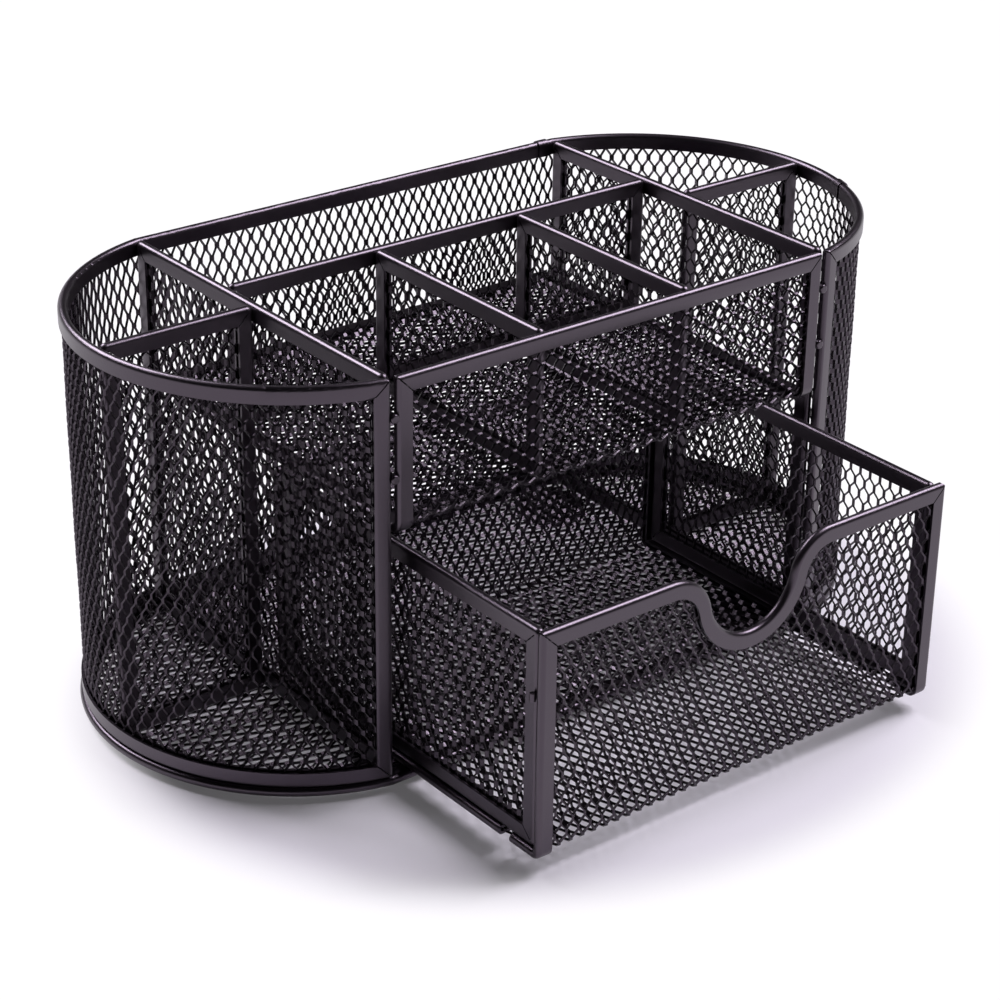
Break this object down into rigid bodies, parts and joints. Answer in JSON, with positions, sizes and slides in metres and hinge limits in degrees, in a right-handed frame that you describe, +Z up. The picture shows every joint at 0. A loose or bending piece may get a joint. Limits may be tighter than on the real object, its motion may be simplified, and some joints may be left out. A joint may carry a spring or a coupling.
{
  "type": "desk organizer with drawer",
  "caption": "Black mesh desk organizer with rounded ends, open pen and tray compartments on top, and a pull-out drawer with a finger scoop.",
  "frame": {"origin": "on the table, under the middle of the whole outline with the drawer standing out as at rest", "axes": "+Z up, +X to the user's right along the stand, -Y towards the user, the way the drawer opens"},
  "size_m": [0.2232, 0.1593, 0.1071],
  "materials": {
    "trim": "satin black powder coat on folded steel strip",
    "mesh": "satin black powder coat on expanded steel",
    "foot": "matt black pad"
  },
  "bodies": {
    "stand": {"base_mesh": "mesh", "base_trim_back": "trim", "base_trim_front": "trim", "base_trim_left": "trim", "base_trim_right": "trim", "body_welds": "trim", "feet": "foot", "front_left_cross_frame": "trim", "front_left_cross_mesh": "mesh", "front_right_cross_frame": "trim", "front_right_cross_mesh": "mesh", "front_top_trim": "trim", "left_cross_divider_frame": "trim", "left_cross_divider_mesh": "mesh", "left_divider_frame": "trim", "left_divider_mesh": "mesh", "left_shelf_side_trim": "trim", "long_divider_frame": "trim", "long_divider_mesh": "mesh", "right_cross_divider_frame": "trim", "right_cross_divider_mesh": "mesh", "right_divider_frame": "trim", "right_divider_mesh": "mesh", "right_shelf_side_trim": "trim", "rim_joiners": "trim", "shelf_front_sheet": "mesh", "shelf_rear_trim": "trim", "wall_bottom_rim": "trim", "wall_left_front_post": "trim", "wall_mesh": "mesh", "wall_right_front_post": "trim", "wall_top_rim": "trim"},
    "drawer": {"drawer_back_top_trim": "trim", "drawer_front_top_trim": "trim", "drawer_left_corner_trim": "trim", "drawer_left_runner_trim": "trim", "drawer_left_side_frame": "trim", "drawer_left_side_mesh": "mesh", "drawer_right_corner_trim": "trim", "drawer_right_runner_trim": "trim", "drawer_right_side_frame": "trim", "drawer_right_side_mesh": "mesh", "drawer_sheet": "mesh", "drawer_welds": "trim"}
  },
  "joints": [
    {"name": "drawer_slide", "type": "slide", "parent": "stand", "child": "drawer", "axis": [0, -1, 0], "range_m": [-0.049, 0.036]}
  ]
}
